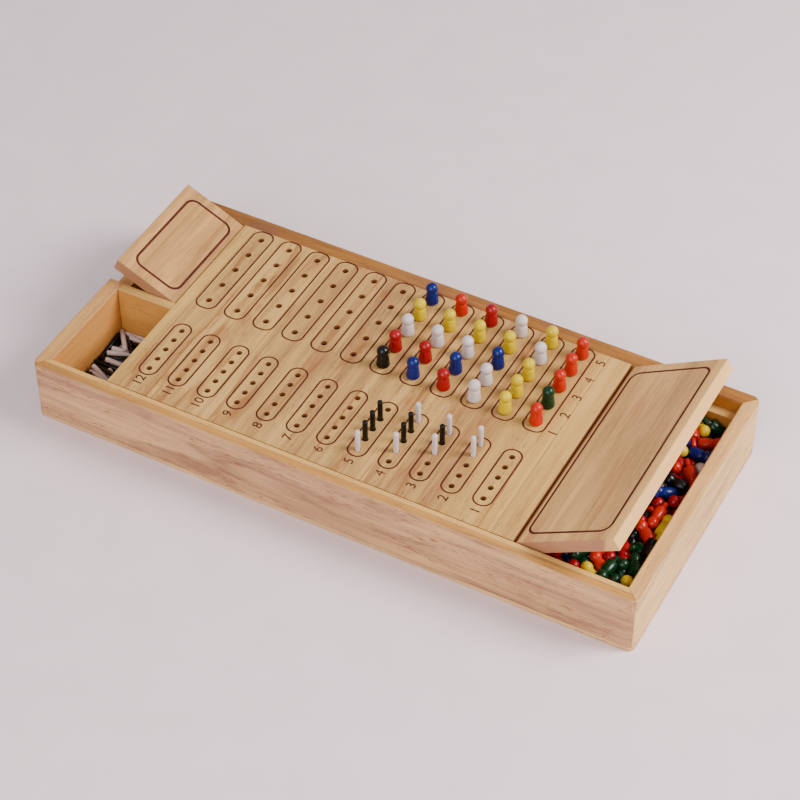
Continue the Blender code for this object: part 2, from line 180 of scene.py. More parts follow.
def srgb(red, green, blue):
    """A colour of the screen, 0 to 255, as the linear values that shaders take."""
    def linear(value):
        value /= 255
        return value / 12.92 if value <= 0.04045 else ((value + 0.055) / 1.055) ** 2.4
    return (linear(red), linear(green), linear(blue), 1.0)


# Where the pieces stand, read from the frame
pawn_nodes = sorted(n for n in frame["nodes"] if n.startswith("code_pawn_"))
pin_nodes = sorted(n for n in frame["nodes"] if n.startswith("score_pin_"))
board_low, board_high = (Vector(c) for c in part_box("pegboard"))
first_pawn = centre(next(n for n in pawn_nodes if n.startswith("code_pawn_r1_c1_")))
second_row_pawn = centre(next(n for n in pawn_nodes if n.startswith("code_pawn_r2_c1_")))
last_pawn = centre(next(n for n in pawn_nodes if n.startswith("code_pawn_r1_c5_")))
first_pin = centre(next(n for n in pin_nodes if n.startswith("score_pin_r2_h1_")))
third_pin = centre(next(n for n in pin_nodes if n.startswith("score_pin_r3_h3_")))
row_pitch = first_pawn.x - second_row_pawn.x
code_pitch = (last_pawn.y - first_pawn.y) / (HOLES - 1)
score_pitch = (first_pin.y - third_pin.y) / 2
last_score_y = first_pin.y - (HOLES - 1) * score_pitch
board_top = board_high.z


class Socket:
    """A node's output that takes part in arithmetic: each operation adds its Math node."""

    def __init__(self, graph, link):
        self.graph = graph
        self.link = link

    def __add__(self, other):
        return self.graph.math("ADD", self, other)

    __radd__ = __add__

    def __sub__(self, other):
        return self.graph.math("SUBTRACT", self, other)

    def __rsub__(self, other):
        return self.graph.math("SUBTRACT", other, self)

    def __mul__(self, other):
        return self.graph.math("MULTIPLY", self, other)

    __rmul__ = __mul__

    def __truediv__(self, other):
        return self.graph.math("DIVIDE", self, other)

    def __rtruediv__(self, other):
        return self.graph.math("DIVIDE", other, self)

    def between(self, low, high):
        """0 below low, 1 above high and smooth between them."""
        node = self.graph.add("ShaderNodeMapRange", {"interpolation_type": "SMOOTHSTEP"},
                              {"Value": self, "From Min": low, "From Max": high})
        return self.graph.out(node, "Result")


class Graph:
    """A node tree that is written as calls."""

    def __init__(self, tree):
        self.tree = tree

    def add(self, kind, settings=None, values=None):
        """One node: its settings first, then the values or links of its sockets."""
        node = self.tree.nodes.new(kind)
        for name, value in (settings or {}).items():
            if name == "stops":
                ramp = node.color_ramp
                while len(ramp.elements) < len(value):
                    ramp.elements.new(1.0)
                for element, (place, colour) in zip(ramp.elements, value):
                    element.position = place
                    element.color = colour
            else:
                setattr(node, name, value)
        for key, value in (values or {}).items():
            for one in value if isinstance(value, list) else [value]:
                if isinstance(one, Socket):
                    self.tree.links.new(one.link, node.inputs[key])
                else:
                    node.inputs[key].default_value = one
        return node

    def out(self, node, key=0):
        return Socket(self, node.outputs[key])

    def math(self, operation, *values):
        node = self.add("ShaderNodeMath", {"operation": operation}, dict(enumerate(values)))
        return self.out(node)

    def vector(self, x, y, z):
        return self.out(self.add("ShaderNodeCombineXYZ", None, {"X": x, "Y": y, "Z": z}))


class Paint(Graph):
    """A material with one Principled shader."""

    def __init__(self, name, constants):
        self.material = bpy.data.materials.new(name)
        self.material.use_nodes = True
        super().__init__(self.material.node_tree)
        self.shader = self.tree.nodes["Principled BSDF"]
        for key, value in constants.items():
            self.shader.inputs[key].default_value = value

    def place(self):
        """The point of the surface, as three numbers."""
        coordinates = self.add("ShaderNodeTexCoord")
        split = self.add("ShaderNodeSeparateXYZ", None, {0: self.out(coordinates, "Object")})
        return [self.out(split, i) for i in range(3)]

    def facing(self):
        """The surface's own direction, as three numbers."""
        coordinates = self.add("ShaderNodeTexCoord")
        split = self.add("ShaderNodeSeparateXYZ", None, {0: self.out(coordinates, "Normal")})
        return [self.out(split, i) for i in range(3)]

    def noise(self, vector, scale=1.0, detail=2.0, roughness=0.5, distortion=0.0):
        node = self.add("ShaderNodeTexNoise", None, {
            "Vector": vector, "Scale": scale, "Detail": detail, "Roughness": roughness,
            "Distortion": distortion})
        return self.out(node, "Fac")

    def mix(self, factor, first, second):
        node = self.add("ShaderNodeMix", {"data_type": "RGBA"},
                        {0: factor, 6: first, 7: second})
        return self.out(node, 2)

    def ramp(self, value, stops):
        node = self.add("ShaderNodeValToRGB", {"stops": stops}, {"Fac": value})
        return self.out(node, "Color")

    def finish(self, colour, roughness=None, height=None, relief=0.0001, strength=1.0):
        """Links what varies over the surface to the shader."""
        self.tree.links.new(colour.link, self.shader.inputs["Base Color"])
        if roughness is not None:
            self.tree.links.new(roughness.link, self.shader.inputs["Roughness"])
        if height is not None:
            bump = self.add("ShaderNodeBump", None,
                            {"Strength": strength, "Distance": relief, "Height": height})
            self.tree.links.new(bump.outputs["Normal"], self.shader.inputs["Normal"])
        return self.material


# Colours of the wood; the inner and the wall's shade are painted shade on upright faces, each a
# colour and its share
DARK_PORE = srgb(92, 49, 35)
SIDE_PORE = srgb(126, 70, 46)
JOINT_STAIN = srgb(158, 84, 22)
# painted shade inside the drilled holes
HOLE_PAINTED_SHADE = srgb(122, 66, 36)
TOP_TONES = {"pale": srgb(216, 170, 93), "warm": srgb(178, 133, 73), "streak": srgb(156, 97, 32)}
SIDE_TONES = (srgb(212, 165, 114), srgb(162, 115, 84))
SIDE_STREAK = srgb(118, 74, 58)
# painted shade on the inner upright faces of the bays
INNER_PAINTED_SHADE = (srgb(200, 130, 52), 0.6)
# painted shade on the storage wall's upright faces beside the lid
WALL_SHADE = (srgb(98, 38, 20), 0.85)
LID_ENDS = srgb(158, 108, 78)

# Other colours
SCORCHED = srgb(122, 72, 42)
STEEL_DARK = (0.42, 0.42, 0.43, 1.0)
STEEL_LIGHT = (0.62, 0.62, 0.63, 1.0)
TABLE_DARK = srgb(235, 213, 219)
TABLE_LIGHT = srgb(240, 218, 224)

# From where to where each part of the wood's pattern sets in
TONE_ENDS = (0.40, 0.60)
FIGURE_ENDS = (0.50, 0.70)
PORE_ENDS = (0.60, 0.70)
PORE_PATCHES = (0.38, 0.62)
OUTER_FACES = (-0.0006, -0.0002)  # from the frame's rounded outline
UPRIGHT_FACES = (0.3, 0.9)
GRAIN_ENDS = (0.5, 0.9)
JOINT_PATCHES = (0.40, 0.58)
JOINT_GLOW = (0.0002, 0.0018)
JOINT_LINE = (0.00012, 0.00034)
HOLE_DEPTHS = (0.00006, 0.0006)

# Glued strips: the range of their tones, the jump of the grain from one to the next
STAVE_TONES = 0.09
STAVE_JUMP = 3.71

# How strongly a joint's glow, its line and the painted shade inside a hole show
GLOW_SHARE = 0.45
LINE_SHARE = 0.6
HOLE_SHARE = 0.85


def wood(name, grain, pale, warm, streak, seed, outside=None, inside=None, end_grain=None,
         stave=None, figure=0.6, pores=0.5, bands=(), hole_top=None):
    """Oiled rubberwood whose grain runs along X or Y.

    pale and warm are the two ends of its tone, streak colours the darker figure, and figure and
    pores are the strengths of that figure and of the pores. outside gives the pale and the warm
    end on the frame's outer faces, inside paints shade on its other upright faces by a colour and
    a share, and end_grain tints the faces across the grain. stave is the width of the glued strips
    and the place of one of their joints. Each band lies across the grain, from a start to an end
    with a soft width, and is tinted by its colour and share. hole_top paints shade on what lies
    deeper than that height, as inside a drilled hole.
    """
    paint = Paint(name, {"Roughness": 0.5, "Specular IOR Level": 0.3})
    x, y, z = paint.place()
    length, across = (x, y) if grain == "x" else (y, x)
    shift = seed
    stave_tone = 0.0
    if stave:
        width, first_joint = stave
        strips = (across - first_joint) / width
        index = paint.math("FLOOR", strips)
        shift = index * STAVE_JUMP + seed
        random_node = paint.add("ShaderNodeTexWhiteNoise", {"noise_dimensions": "1D"},
                                {"W": index + seed})
        stave_tone = paint.out(random_node, "Value") * STAVE_TONES - STAVE_TONES / 2
        within = strips - index
        to_joint = paint.math("MINIMUM", within, 1.0 - within) * width

    def grained(lengthwise, crosswise, start, **kind):
        """A noise stretched along the grain, by its scales along and across and its start."""
        vector = paint.vector(length * lengthwise + start, across * crosswise + shift,
                              z * crosswise - shift)
        return paint.noise(vector, **kind)

    broad = grained(7.0, 42.0, 1.3, detail=2.0, roughness=0.55, distortion=0.5)
    lines = grained(9.0, 230.0, 7.7, detail=3.0, roughness=0.6, distortion=0.25)
    fine = grained(40.0, 1100.0, 4.1, detail=3.0, roughness=0.65)
    cloud = grained(16.0, 75.0, 9.7, detail=3.0, roughness=0.6, distortion=0.9)
    vessels = grained(190.0, 1700.0, 2.9, detail=1.0)
    patches = grained(24.0, 110.0, 6.3, detail=1.0)
    pore = vessels.between(*PORE_ENDS) * patches.between(*PORE_PATCHES)

    tone = broad * 0.42 + lines * 0.36 + fine * 0.22 + stave_tone

    def toned(pale_end, warm_end):
        """The wood's tone as a colour between its two ends."""
        return paint.ramp(tone, list(zip(TONE_ENDS, (pale_end, warm_end))))

    colour = toned(pale, warm)
    dark_figure = cloud.between(*FIGURE_ENDS) * (lines * 1.3 + fine * 0.5 - 0.15)
    if outside is not None:
        past_end = paint.math("ABSOLUTE", x) - (cad_box[1][0] - FRAME_CORNER)
        past_side = paint.math("ABSOLUTE", y) - (cad_box[1][1] - FRAME_CORNER)
        corner_x = paint.math("MAXIMUM", past_end, 0.0)
        corner_y = paint.math("MAXIMUM", past_side, 0.0)
        from_corner = paint.math("SQRT", corner_x * corner_x + corner_y * corner_y)
        outer = (from_corner - FRAME_CORNER).between(*OUTER_FACES)
        colour = paint.mix(outer, colour, toned(*outside))
        pore_colour = paint.mix(outer, DARK_PORE, SIDE_PORE)
        pore = pore * (outer * 0.5 + 0.5)
    else:
        outer = 0.0
        pore_colour = DARK_PORE
    colour = paint.mix(dark_figure * figure, colour, streak)
    # painted shade on the upright faces inside the frame
    if inside is not None:
        upright = (1.0 - paint.math("ABSOLUTE", paint.facing()[2])).between(*UPRIGHT_FACES)
        colour = paint.mix(upright * (1.0 - outer) * inside[1], colour, inside[0])
    if end_grain is not None:
        facing = paint.math("ABSOLUTE", paint.facing()[0 if grain == "x" else 1])
        colour = paint.mix(facing.between(*GRAIN_ENDS) * (broad * 0.5 + 0.6), colour, end_grain)
    for start, end, soft, tint, share in bands:
        past_start = across.between(start - soft, start + soft)
        band = past_start * (1.0 - across.between(end - soft, end + soft))
        colour = paint.mix(band * (lines * 0.9 + 0.55) * share, colour, tint)
    if stave:
        stained = patches.between(*JOINT_PATCHES)
        glow = (1.0 - to_joint.between(*JOINT_GLOW)) * stained
        colour = paint.mix(glow * GLOW_SHARE, colour, JOINT_STAIN)
        joint = (1.0 - to_joint.between(*JOINT_LINE)) * stained
        colour = paint.mix(joint * LINE_SHARE, colour, DARK_PORE)
    colour = paint.mix(pore * pores, colour, pore_colour)
    # painted shade, deeper inside the drilled holes
    if hole_top is not None:
        deep = (hole_top - z).between(*HOLE_DEPTHS)
        colour = paint.mix(deep * HOLE_SHARE, colour, HOLE_PAINTED_SHADE)
    roughness = 0.50 + fine * 0.16 + pore * 0.2
    height = fine * 0.4 + lines * 0.25 - pore * 0.9
    return paint.finish(colour, roughness, height, relief=0.00012, strength=0.55)


def lacquer(name, colour, shade, seed):
    """Glossy lacquer over turned wood: a little thicker here, a little thinner there."""
    paint = Paint(name, {"Roughness": 0.24, "Specular IOR Level": 0.3})
    x, y, z = paint.place()
    cloud = paint.noise(paint.vector(x + seed, y, z), scale=260.0, detail=3.0, roughness=0.6)
    turned_lines = paint.noise(paint.vector(x * 0.1, y * 0.1, z + seed), scale=2600.0, detail=2.0)
    mixed = paint.mix(cloud.between(0.3, 0.75), colour, shade)
    roughness = 0.17 + cloud * 0.16 + turned_lines * 0.05
    height = cloud * 0.6 + turned_lines * 0.4
    return paint.finish(mixed, roughness, height, relief=0.00005, strength=0.35)


def burned(name, dark, paler):
    """Line burned into the wood: dark brown, dull, paler where the wood shows through."""
    paint = Paint(name, {"Roughness": 0.75, "Specular IOR Level": 0.2})
    x, y, z = paint.place()
    speckle = paint.noise(paint.vector(x, y, z), scale=1900.0, detail=3.0, roughness=0.7)
    wide = paint.noise(paint.vector(x, y, z), scale=90.0, detail=2.0)
    colour = paint.mix(wide.between(0.3, 0.7), dark, paler)
    colour = paint.mix(speckle.between(0.58, 0.8) * 0.4, colour, SCORCHED)
    return paint.finish(colour, 0.66 + speckle * 0.25, speckle, relief=0.00004, strength=0.5)


def steel(name):
    """Drawn steel rod, with fine lines along it."""
    paint = Paint(name, {"Metallic": 1.0, "Roughness": 0.32})
    x, y, z = paint.place()
    drawn = paint.noise(paint.vector(x * 6000.0, y * 40.0, z * 6000.0), detail=2.0)
    colour = paint.ramp(drawn, [(0.3, STEEL_DARK), (0.7, STEEL_LIGHT)])
    return paint.finish(colour, 0.24 + drawn * 0.2, drawn, relief=0.00001, strength=0.3)


near_rail_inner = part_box("near_long_rail")[1][1]
lid_low, lid_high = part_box("storage_lid")
wood_looks = {
    "pegboard": dict(
        grain="y", seed=3.0, figure=0.85, stave=(0.036, 0.0585), hole_top=board_top,
        pale=srgb(206, 160, 92), warm=srgb(152, 108, 64), streak=srgb(140, 78, 40),
        # paler towards the storage wall, with a brown strip close to it
        bands=[(board_high.x - 0.0340, board_high.x + 0.0010, 0.0080, srgb(216, 172, 84), 0.3),
               (board_high.x - 0.0070, board_high.x - 0.0020, 0.0016, srgb(150, 92, 40), 0.32)]),
    "storage_wall": dict(TOP_TONES, grain="y", seed=8.0, figure=0.4, inside=WALL_SHADE),
    "code_wall": dict(TOP_TONES, grain="y", seed=11.0, figure=0.5, inside=INNER_PAINTED_SHADE),
    "bay_partition": dict(TOP_TONES, grain="x", seed=14.0, inside=INNER_PAINTED_SHADE),
    "near_long_rail": dict(
        grain="x", seed=17.0, figure=0.7, pores=0.8, outside=SIDE_TONES, inside=INNER_PAINTED_SHADE,
        pale=srgb(200, 142, 68), warm=srgb(160, 108, 52), streak=SIDE_STREAK,
        # a pale inner edge
        bands=[(near_rail_inner - 0.0036, near_rail_inner, 0.0003, srgb(222, 172, 98), 0.7)]),
    "far_long_rail": dict(
        grain="x", seed=23.0, figure=0.6, pores=0.8, outside=SIDE_TONES, inside=INNER_PAINTED_SHADE,
        pale=srgb(166, 108, 46), warm=srgb(122, 73, 29), streak=SIDE_STREAK),
    "storage_end_rail": dict(
        grain="y", seed=29.0, figure=0.35, pores=0.6, inside=INNER_PAINTED_SHADE,
        outside=(srgb(240, 195, 126), srgb(196, 156, 102)),
        pale=srgb(233, 177, 106), warm=srgb(190, 139, 86), streak=SIDE_STREAK),
    "code_end_rail": dict(
        grain="y", seed=31.0, figure=0.45, pores=0.7, outside=SIDE_TONES, inside=INNER_PAINTED_SHADE,
        pale=srgb(216, 160, 92), warm=srgb(176, 124, 74), streak=SIDE_STREAK),
    "storage_lid": dict(
        grain="y", seed=37.0, figure=0.38, pores=0.3, end_grain=LID_ENDS,
        pale=srgb(228, 174, 108), warm=srgb(184, 134, 84), streak=srgb(178, 104, 66),
        # painted shade along the hinge edge and a painted highlight along the free edge
        bands=[(lid_low[0] - 0.001, lid_low[0] + 0.0017, 0.0003, srgb(150, 84, 28), 0.8),
               (lid_high[0] - 0.0085, lid_high[0] + 0.001, 0.0012, srgb(240, 186, 108), 0.5)]),
    "code_lid": dict(
        grain="y", seed=41.0, figure=0.55, pores=0.3, end_grain=LID_ENDS,
        pale=srgb(208, 154, 90), warm=srgb(164, 116, 66), streak=srgb(146, 90, 42)),
    "code_shelf": dict(TOP_TONES, grain="y", seed=43.0),
    "near_ledge": dict(TOP_TONES, grain="x", seed=47.0, inside=INNER_PAINTED_SHADE),
    "far_ledge": dict(TOP_TONES, grain="x", seed=53.0, inside=INNER_PAINTED_SHADE),
    "base_panel": dict(
        grain="x", seed=59.0, figure=0.35,
        pale=srgb(226, 182, 124), warm=srgb(180, 139, 96), streak=srgb(150, 98, 62)),
}
lacquer_tones = {
    "orange": (srgb(184, 28, 0), srgb(168, 20, 0)),
    "red": (srgb(154, 2, 13), srgb(134, 1, 10)),
    "yellow": (srgb(206, 177, 0), srgb(194, 161, 0)),
    "green": (srgb(1, 47, 19), srgb(1, 36, 14)),
    "blue": (srgb(6, 25, 99), srgb(4, 18, 83)),
    "white": (srgb(207, 189, 186), srgb(194, 176, 172)),
    "black": (srgb(7, 8, 9), srgb(4, 4, 5)),
}
wood_materials = {node: wood(node + "_wood", **look) for node, look in wood_looks.items()}
steel_material = steel("drawn_steel")
burned_material = burned("burned_line", srgb(66, 24, 18), srgb(82, 33, 24))
digit_material = burned("burned_digit", srgb(70, 32, 24), srgb(88, 44, 32))
lacquer_materials = {
    colour: lacquer(colour + "_lacquer", *tones, float(seed))
    for seed, (colour, tones) in enumerate(lacquer_tones.items(), 1)}


def dress_frame():
    """Every CAD node that stays gets its finished material."""
    rods = dict.fromkeys(("storage_hinge_rod", "code_hinge_rod"), steel_material)
    for node, material in {**wood_materials, **rods}.items():
        mesh = frame["nodes"][node].data
        mesh.materials.clear()
        mesh.materials.append(material)


def turned(profile, sides):
    """A closed body turned about Z from (radius, height) rings, lowest first."""
    shape = bmesh.new()
    angles = [2 * math.pi * i / sides for i in range(sides)]
    rings = [[shape.verts.new((radius * math.cos(a), radius * math.sin(a), height))
              for a in angles] for radius, height in profile]
    for lower, upper in zip(rings, rings[1:]):
        for i in range(sides):
            j = (i + 1) % sides
            shape.faces.new((lower[i], lower[j], upper[j], upper[i]))
    shape.faces.new(rings[0][::-1])
    shape.faces.new(rings[-1])
    bmesh.ops.recalc_face_normals(shape, faces=shape.faces)
    return shape


def add_piece(name, shape, material, smooth_angle=None, place=None):
    """A bmesh as an object at the origin, with its place in its mesh."""
    if place is not None:
        bmesh.ops.transform(shape, matrix=place, verts=shape.verts)
    mesh = bpy.data.meshes.new(name)
    shape.to_mesh(mesh)
    shape.free()
    if smooth_angle is not None:
        mesh.shade_smooth()
        mesh.set_sharp_from_angle(angle=math.radians(smooth_angle))
    if material is not None:
        mesh.materials.append(material)
    piece = bpy.data.objects.new(name, mesh)
    bpy.context.scene.collection.objects.link(piece)
    return piece


def arc_rings(centre_height, radius, start, end, steps):
    """(radius, height) points of a ball about the axis, from one latitude in degrees to another."""
    angles = [math.radians(start + (end - start) * i / steps) for i in range(steps + 1)]
    return [(radius * math.cos(a), centre_height + radius * math.sin(a)) for a in angles]


def pawn_profile(low, high, body, head_arc, head_steps):
    """Rings of a pawn from its peg's end at low to its crown at high; 0 is its foot."""
    peg = [(PEG * PEG_TAPER, low), (PEG, low + PEG_CHAMFER), (PEG, 0.0)]
    return peg + body + arc_rings(high - HEAD, HEAD, *head_arc, head_steps)


def lean(amount, rng):
    """A small tilt in a random direction."""
    along = math.cos(rng.uniform(0, 2 * math.pi))
    aside = math.sin(rng.uniform(0, 2 * math.pi))
    axis = Vector((along, aside, 0.0)).normalized()
    return Matrix.Rotation(rng.uniform(0.2, 1.0) * amount, 4, axis)


def lacquer_of(node):
    """The lacquer that a piece's node is named for."""
    return lacquer_materials[node.rsplit("_", 1)[1]]


def add_standing_pieces():
    """The pawns and pins in their holes, each on its own body in place of its plain solid."""
    rng = random.Random(LEAN_SEED)
    foot_z = board_top + FOOT_GAP
    for node in pawn_nodes:
        low, high = (Vector(c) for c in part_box(node))
        profile = pawn_profile(low.z - board_top - FOOT_GAP, high.z - foot_z,
                               PAWN_BODY, HEAD_ARC, HEAD_STEPS)
        middle = centre(node)
        tilt = lean(PAWN_LEAN, rng) @ Matrix.Rotation(rng.uniform(0, PAWN_TURN), 4, "Z")
        place = Matrix.Translation((middle.x, middle.y, foot_z)) @ tilt
        pawn = add_piece("lacquered_" + node, turned(profile, PAWN_SIDES), lacquer_of(node),
                         SMOOTH_ANGLE, place)
        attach(pawn, node)
        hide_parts(node)
    for node in pin_nodes:
        low, high = (Vector(c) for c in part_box(node))
        height = high.z - low.z
        profile = PIN_FOOT + [(radius, height - drop) for radius, drop in PIN_END]
        middle = centre(node)
        place = Matrix.Translation((middle.x, middle.y, low.z)) @ lean(PIN_LEAN, rng)
        pin = add_piece("lacquered_" + node, turned(profile, PIN_SIDES), lacquer_of(node),
                        SMOOTH_ANGLE, place)
        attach(pin, node)
        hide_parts(node)


class Maker(Graph):
    """A geometry node tree with named inputs, which ends in Realize Instances and Set Material."""

    def __init__(self, name, inputs):
        group = bpy.data.node_groups.new(name, "GeometryNodeTree")
        super().__init__(group)
        group.interface.new_socket("Geometry", in_out="INPUT", socket_type="NodeSocketGeometry")
        for label, kind in inputs.items():
            group.interface.new_socket(label, in_out="INPUT", socket_type="NodeSocket" + kind)
        group.interface.new_socket("Geometry", in_out="OUTPUT", socket_type="NodeSocketGeometry")
        self.start = group.nodes.new("NodeGroupInput")
        self.end = group.nodes.new("NodeGroupOutput")

    def given(self, label):
        return self.out(self.start, label)

    def close(self, geometry):
        realized = self.add("GeometryNodeRealizeInstances", None, {"Geometry": geometry})
        finished = self.add("GeometryNodeSetMaterial", None,
                            {"Geometry": self.out(realized), "Material": self.given("Material")})
        self.tree.links.new(finished.outputs[0], self.end.inputs["Geometry"])

    def make(self, name, points=None, **values):
        """Runs the tree once and returns its result as a plain object."""
        mesh = bpy.data.meshes.new(name)
        if points is not None:
            mesh.from_pydata([p[0] for p in points], [], [])
            lie = mesh.attributes.new("lie", "FLOAT_VECTOR", "POINT")
            for item, (_, axis) in zip(lie.data, points):
                item.vector = axis
        holder = bpy.data.objects.new(name + "_holder", mesh)
        bpy.context.scene.collection.objects.link(holder)
        modifier = holder.modifiers.new("maker", "NODES")
        modifier.node_group = self.tree
        for item in self.tree.interface.items_tree:
            label = item.name.lower().replace(" ", "_")
            if item.in_out == "INPUT" and label in values:
                modifier[item.identifier] = values[label]
        graph = bpy.context.evaluated_depsgraph_get()
        result = bpy.data.meshes.new_from_object(holder.evaluated_get(graph), depsgraph=graph)
        result.name = name
        bpy.data.objects.remove(holder, do_unlink=True)
        piece = bpy.data.objects.new(name, result)
        bpy.context.scene.collection.objects.link(piece)
        return piece


def outline_maker():
    """Burned rounded rectangles, repeated along X."""
    maker = Maker("burned_outlines", {
        "Count": "Int", "Pitch": "Float", "Length": "Float", "Breadth": "Float", "Corner": "Float",
        "Line Width": "Float", "Line Depth": "Float", "First": "Vector", "Material": "Material"})
    rectangle = maker.add("GeometryNodeCurvePrimitiveQuadrilateral", None,
                          {"Width": maker.given("Breadth"), "Height": maker.given("Length")})
    rounded = maker.add("GeometryNodeFilletCurve", {"mode": "POLY"},
                        {"Curve": maker.out(rectangle), "Radius": maker.given("Corner"),
                         "Count": CORNER_POINTS})
    ring = maker.add("GeometryNodeCurvePrimitiveCircle", None,
                     {"Resolution": LINE_SIDES, "Radius": maker.given("Line Width") * 0.5})
    line = maker.add("GeometryNodeCurveToMesh", None,
                     {"Curve": maker.out(rounded), "Profile Curve": maker.out(ring)})
    flat = maker.vector(1.0, 1.0, maker.given("Line Depth") / maker.given("Line Width"))
    pressed = maker.add("GeometryNodeTransform", None, {"Geometry": maker.out(line), "Scale": flat})
    step = maker.vector(maker.given("Pitch") * -1.0, 0.0, 0.0)
    places = maker.add("GeometryNodeMeshLine", None, {
        "Count": maker.given("Count"), "Start Location": maker.given("First"), "Offset": step})
    copies = maker.add("GeometryNodeInstanceOnPoints", None,
                       {"Points": maker.out(places), "Instance": maker.out(pressed)})
    maker.close(maker.out(copies))
    return maker


def reface(piece, place=None):
    """Turns every face outwards and sets the mesh at its place."""
    shape = bmesh.new()
    shape.from_mesh(piece.data)
    bmesh.ops.remove_doubles(shape, verts=shape.verts, dist=MERGE_DISTANCE)
    if place is not None:
        bmesh.ops.transform(shape, matrix=place, verts=shape.verts)
    bmesh.ops.recalc_face_normals(shape, faces=shape.faces)
    shape.to_mesh(piece.data)
    shape.free()


def add_outlines():
    """The burned outline round each row of code holes and scoring holes, and on each lid."""
    maker = outline_maker()
    height = board_top + LINE_PROUD - LINE_DEPTH / 2
    spans = {
        "code_row_outlines": (first_pawn.y, last_pawn.y, CODE_OUTLINE),
        "score_row_outlines": (last_score_y, first_pin.y, SCORE_OUTLINE),
    }
    for name, (low_y, high_y, size) in spans.items():
        piece = maker.make(
            name, count=ROWS, pitch=row_pitch, length=high_y - low_y + 2 * size["past_end"],
            breadth=2 * size["half_width"], corner=size["corner"], line_width=LINE_WIDTH,
            line_depth=LINE_DEPTH, first=(first_pawn.x, (low_y + high_y) / 2, height),
            material=burned_material)
        reface(piece)
        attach(piece, "box")
    for lid, side in (("storage_lid", 1), ("code_lid", -1)):
        add_lid_outline(maker, lid, side)


def shut_vertices(lid, axis, turn):
    """The lid's own vertices turned back to where they are when it is shut, about its hinge."""
    back = turn.inverted() @ Matrix.Translation(-Vector((axis.x, 0.0, axis.z)))
    return [back @ v.co for v in frame["nodes"][lid].data.vertices]


def add_lid_outline(maker, lid, side):
    """A lid's burned outline, laid out on the shut lid and turned with it.

    side is 1 for a lid that reaches along X from its hinge, and -1 for one that reaches back.
    """
    joint = next(j for j in frame["joints"] if j["child"] == lid)
    axis = Vector(joint["pos_m"])
    turn = Matrix.Rotation(side * math.radians(joint["range_deg"][0]), 4, "Y")
    points = shut_vertices(lid, axis, turn)
    reach = max(side * p.x for p in points)
    top = max(p.z for p in points)
    low_y = min(p.y for p in points)
    high_y = max(p.y for p in points)
    start = LID_LINE_FROM_HINGE
    end = reach - LID_LINE_INSET
    piece = maker.make(
        lid + "_outline", count=1, pitch=row_pitch, length=high_y - low_y - 2 * LID_LINE_INSET,
        breadth=end - start, corner=LID_LINE_CORNER, line_width=LID_LINE_WIDTH,
        line_depth=LINE_DEPTH, material=burned_material,
        first=(side * (start + end) / 2, (low_y + high_y) / 2, top + LINE_PROUD - LINE_DEPTH / 2))
    reface(piece, Matrix.Translation((axis.x, 0.0, axis.z)) @ turn)
    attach(piece, lid)


def add_digits():
    """Row numbers beside the scoring outlines and hole numbers beside row 1.

    They are read from the storage end.
    """
    marks = []
    beside_rows = last_score_y - SCORE_OUTLINE["past_end"] - ROW_DIGITS_FROM_SLOT
    for row in range(1, ROWS + 1):
        marks.append((str(row), first_pawn.x - (row - 1) * row_pitch, beside_rows))
    for hole in range(1, HOLES + 1):
        along_row = (hole - 1) * code_pitch * COLUMN_DIGIT_PITCH_SHARE - FIRST_COLUMN_DIGIT_BACK
        marks.append((str(hole), first_pawn.x + COLUMN_DIGITS_FROM_ROW, first_pawn.y + along_row))
    joined = bmesh.new()
    quarter = Matrix.Rotation(math.radians(90), 4, "Z")
    height = board_top + LINE_PROUD - LINE_DEPTH / 2
    graph = bpy.context.evaluated_depsgraph_get()
    for text, x, y in marks:
        curve = bpy.data.curves.new("digit", "FONT")
        curve.body = text
        curve.size = DIGIT_HEIGHT / DIGIT_OF_FONT
        curve.offset = 0.0 if "4" in text else DIGIT_BOLD  # an offset closes the 4's triangle
        curve.resolution_u = 4
        curve.extrude = LINE_DEPTH / 2
        holder = bpy.data.objects.new("digit", curve)
        bpy.context.scene.collection.objects.link(holder)
        graph.update()
        mesh = bpy.data.meshes.new_from_object(holder.evaluated_get(graph), depsgraph=graph)
        bpy.data.objects.remove(holder, do_unlink=True)
        points = [v.co for v in mesh.vertices]
        middle = Vector(((min(p.x for p in points) + max(p.x for p in points)) / 2,
                         (min(p.y for p in points) + max(p.y for p in points)) / 2, 0.0))
        mesh.transform(Matrix.Translation((x, y, height)) @ quarter @ Matrix.Translation(-middle))
        joined.from_mesh(mesh)
        bpy.data.meshes.remove(mesh)
    piece = add_piece("burned_digits", joined, digit_material)
    reface(piece)
    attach(piece, "box")


